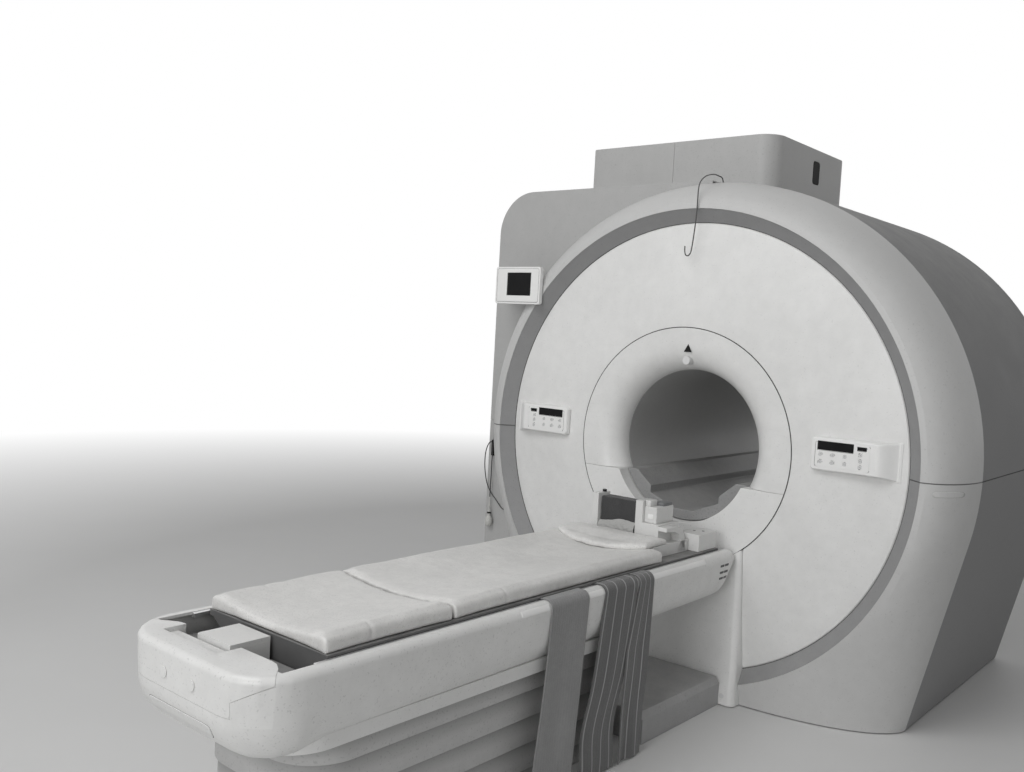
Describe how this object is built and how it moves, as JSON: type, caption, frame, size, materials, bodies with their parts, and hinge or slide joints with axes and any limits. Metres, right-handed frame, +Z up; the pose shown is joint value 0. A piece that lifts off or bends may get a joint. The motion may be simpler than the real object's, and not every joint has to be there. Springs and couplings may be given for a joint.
{
  "type": "mri scanner",
  "caption": "Whole-body MRI scanner: a round gantry with a bell-mouthed bore and a squared shoulder, and a docked patient couch on a telescopic pedestal.",
  "frame": {"origin": "on the floor under the centre of the magnet, at the middle of the magnet's anchor holes", "axes": "+Y along the bore from the couch towards the rear cover, +Z up, +X to the right as seen from the foot of the couch"},
  "size_m": [2.2828, 3.7625, 2.345],
  "materials": {
    "white_cover": "smooth moulded cover, satin gloss",
    "panel_white": "painted flat panel, satin",
    "side_grey": "smooth moulded cover, satin",
    "fascia_white": "smooth moulded cover, satin",
    "groove_grey": "grey moulded band, matt",
    "bore_liner": "smooth liner, satin",
    "coil_resin": "wound former in resin",
    "gradient_resin": "windings potted in resin",
    "vessel_steel": "welded vacuum vessel",
    "painted_steel": "grey powder coat",
    "tube_steel": "ground square tube",
    "rail_steel": "bright drawn rail",
    "hook_wire": "dark bent wire",
    "skirt_white": "smooth moulded sleeve, satin",
    "pan_white": "painted tray, satin",
    "base_grey": "dark grey moulded cover",
    "key_grey": "moulded keys and plugs",
    "black_plastic": "black moulding",
    "display_glass": "dark display window",
    "cord_rubber": "black flexible tube",
    "bulb_rubber": "light soft bulb",
    "strap_web": "woven strap",
    "table_composite": "fibre-reinforced tabletop, matt",
    "pad_vinyl": "welded pale vinyl over foam",
    "pad_foam": "dark soft foam",
    "coil_white": "smooth moulding, satin"
  },
  "bodies": {
    "gantry": {"front_disc_cover": "white_cover", "bore_flare": "white_cover", "docking_fascia": "fascia_white", "groove_band_upper": "groove_grey", "groove_band_lower": "groove_grey", "front_ring_upper": "white_cover", "front_ring_lower_right": "white_cover", "front_ring_lower_left": "white_cover", "side_cover_upper": "side_grey", "side_cover_lower": "side_grey", "shoulder_upper": "panel_white", "shoulder_lower": "panel_white", "rear_cover_upper": "panel_white", "rear_cover_lower": "panel_white", "rear_flare": "white_cover", "top_housing_left": "panel_white", "top_housing_right": "panel_white", "housing_vent": "black_plastic", "bore_tube": "bore_liner", "bore_bridge": "bore_liner", "body_coil": "coil_resin", "gradient_coil": "gradient_resin", "magnet_vessel": "vessel_steel", "magnet_feet": "painted_steel", "cold_head": "painted_steel", "dock_column": "white_cover", "control_pods": "white_cover", "pod_keys": "key_grey", "side_display": "white_cover", "screens": "display_glass", "cover_plugs": "key_grey", "call_clip": "black_plastic", "call_cord": "cord_rubber", "call_bulb": "bulb_rubber", "wire_hook": "hook_wire", "base_cover": "base_grey", "base_plate": "painted_steel", "skirt_base": "skirt_white"},
    "lift_middle": {"lift_tube_middle": "tube_steel"},
    "skirt_1": {"skirt_section_1": "skirt_white"},
    "skirt_2": {"skirt_section_2": "skirt_white"},
    "skirt_3": {"skirt_section_3": "skirt_white"},
    "couch": {"skirt_section_4": "skirt_white", "lift_tube_upper": "tube_steel", "couch_frame": "painted_steel", "couch_pan": "pan_white", "couch_shell": "white_cover", "foot_cover": "white_cover", "foot_caps": "white_cover", "socket_box": "white_cover", "side_rails": "rail_steel", "straps": "strap_web"},
    "lid": {"socket_lid": "white_cover"},
    "table": {"tabletop": "table_composite", "mattress_foot": "pad_vinyl", "mattress_main": "pad_vinyl", "head_cushion": "pad_vinyl", "coil_base": "coil_white", "coil_pad": "pad_foam", "coil_connector": "coil_white"}
  },
  "joints": [
    {"name": "couch_lift", "type": "slide", "parent": "gantry", "child": "couch", "axis": [0, 0, 1], "range_m": [0, 0.26]},
    {"name": "lift_middle_slide", "type": "slide", "parent": "gantry", "child": "lift_middle", "axis": [0, 0, 1], "range_m": [0, 0.13]},
    {"name": "skirt_1_slide", "type": "slide", "parent": "gantry", "child": "skirt_1", "axis": [0, 0, 1], "range_m": [0, 0.065]},
    {"name": "skirt_2_slide", "type": "slide", "parent": "gantry", "child": "skirt_2", "axis": [0, 0, 1], "range_m": [0, 0.13]},
    {"name": "skirt_3_slide", "type": "slide", "parent": "gantry", "child": "skirt_3", "axis": [0, 0, 1], "range_m": [0, 0.195]},
    {"name": "table_slide", "type": "slide", "parent": "couch", "child": "table", "axis": [0, 1, 0], "range_m": [0, 0.06]},
    {"name": "lid_hinge", "type": "hinge", "parent": "couch", "child": "lid", "pos_m": [-0.1025, -2.829, 0.616], "axis": [0, -1, 0], "range_deg": [0, 100]}
  ],
  "couplings": [
    {"joint": "lift_middle_slide", "follows": "couch_lift", "ratio": 0.5},
    {"joint": "skirt_1_slide", "follows": "couch_lift", "ratio": 0.25},
    {"joint": "skirt_2_slide", "follows": "couch_lift", "ratio": 0.5},
    {"joint": "skirt_3_slide", "follows": "couch_lift", "ratio": 0.75}
  ]
}
